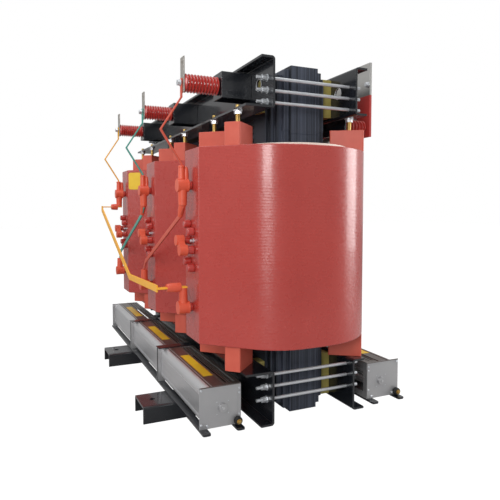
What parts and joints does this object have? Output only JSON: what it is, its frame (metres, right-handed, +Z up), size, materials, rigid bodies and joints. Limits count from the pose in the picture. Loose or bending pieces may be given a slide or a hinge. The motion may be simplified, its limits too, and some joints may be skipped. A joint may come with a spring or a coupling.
{
  "type": "dry type transformer",
  "caption": "Three-phase cast-resin dry type transformer with red coils, black yoke clamps, ribbed insulators and cross-flow cooling fans on a steel base",
  "frame": {"origin": "on the floor under the axis of the middle limb", "axes": "+X along the row of limbs towards the end with the nearer fans, -Y towards the high-voltage side, +Z up"},
  "size_m": [1.915, 1.118, 1.44],
  "materials": {
    "core_steel": "laminated electrical steel under dark varnish",
    "resin_red": "cast epoxy resin, glossy brick red",
    "resin_orange": "moulded terminal covers, orange red",
    "block_resin": "moulded glass polyester, satin",
    "barrier": "glass-fibre tube, cream",
    "lv_resin": "foil winding bonded with resin",
    "black_paint": "gloss black enamel",
    "zinc": "bright zinc plate",
    "yellow_zinc": "yellow passivated zinc",
    "pad_board": "glass-epoxy board, olive yellow",
    "stainless": "brushed stainless sheet",
    "aluminium": "bright rolled aluminium",
    "rotor": "plain aluminium",
    "motor": "black enamel",
    "insulator_red": "glossy epoxy, deep red",
    "tin": "tinned copper",
    "sleeve_yellow": "heat-shrink sleeve",
    "sleeve_teal": "heat-shrink sleeve",
    "sleeve_red": "heat-shrink sleeve",
    "bus_paint": "red enamel on aluminium bar"
  },
  "bodies": {
    "transformer": {"barrier_cylinder_a": "barrier", "barrier_cylinder_b": "barrier", "barrier_cylinder_c": "barrier", "base_beam_left": "black_paint", "base_beam_right": "black_paint", "base_bolts": "zinc", "bottom_clamp_hv": "black_paint", "bottom_clamp_lv": "black_paint", "coil_bosses": "resin_red", "core_limb_a": "core_steel", "core_limb_b": "core_steel", "core_limb_c": "core_steel", "core_yoke_bottom": "core_steel", "core_yoke_top": "core_steel", "delta_link_ac": "sleeve_yellow", "delta_link_ba": "sleeve_teal", "delta_link_cb": "sleeve_red", "fan_bearings": "stainless", "fan_cases_hv": "aluminium", "fan_cases_lv": "aluminium", "fan_end_plates": "stainless", "fan_frames": "black_paint", "fan_motors": "motor", "fan_rails": "black_paint", "hv_coil_a": "resin_red", "hv_coil_b": "resin_red", "hv_coil_c": "resin_red", "hv_lead_a": "sleeve_yellow", "hv_lead_b": "sleeve_teal", "hv_lead_c": "sleeve_red", "hv_posts": "insulator_red", "lower_blocks": "block_resin", "lv_bus_a": "bus_paint", "lv_bus_b": "bus_paint", "lv_bus_c": "bus_paint", "lv_coil_a": "lv_resin", "lv_coil_b": "lv_resin", "lv_coil_c": "lv_resin", "lv_leads": "tin", "lv_post_brackets": "black_paint", "lv_posts": "insulator_red", "post_brackets": "black_paint", "pressing_studs": "yellow_zinc", "stud_nuts": "zinc", "tap_links": "resin_orange", "terminal_bars": "tin", "terminal_bolts": "zinc", "terminal_covers": "resin_orange", "tie_rod_nuts": "zinc", "tie_rods": "zinc", "top_clamp_hv": "black_paint", "top_clamp_lv": "black_paint", "upper_blocks": "block_resin", "yoke_pads": "pad_board"},
    "rotor_hv_1": {"fan_rotor_hv_1": "rotor"},
    "rotor_hv_2": {"fan_rotor_hv_2": "rotor"},
    "rotor_hv_3": {"fan_rotor_hv_3": "rotor"},
    "rotor_lv_1": {"fan_rotor_lv_1": "rotor"},
    "rotor_lv_2": {"fan_rotor_lv_2": "rotor"},
    "rotor_lv_3": {"fan_rotor_lv_3": "rotor"}
  },
  "joints": [
    {"name": "spin_hv_1", "type": "hinge", "parent": "transformer", "child": "rotor_hv_1", "pos_m": [0.79, -0.347, 0.144], "axis": [1, 0, 0], "continuous": true},
    {"name": "spin_hv_2", "type": "hinge", "parent": "transformer", "child": "rotor_hv_2", "pos_m": [0.204, -0.347, 0.144], "axis": [1, 0, 0], "continuous": true},
    {"name": "spin_hv_3", "type": "hinge", "parent": "transformer", "child": "rotor_hv_3", "pos_m": [-0.382, -0.347, 0.144], "axis": [1, 0, 0], "continuous": true},
    {"name": "spin_lv_1", "type": "hinge", "parent": "transformer", "child": "rotor_lv_1", "pos_m": [0.79, 0.347, 0.144], "axis": [1, 0, 0], "continuous": true},
    {"name": "spin_lv_2", "type": "hinge", "parent": "transformer", "child": "rotor_lv_2", "pos_m": [0.204, 0.347, 0.144], "axis": [1, 0, 0], "continuous": true},
    {"name": "spin_lv_3", "type": "hinge", "parent": "transformer", "child": "rotor_lv_3", "pos_m": [-0.382, 0.347, 0.144], "axis": [1, 0, 0], "continuous": true}
  ]
}
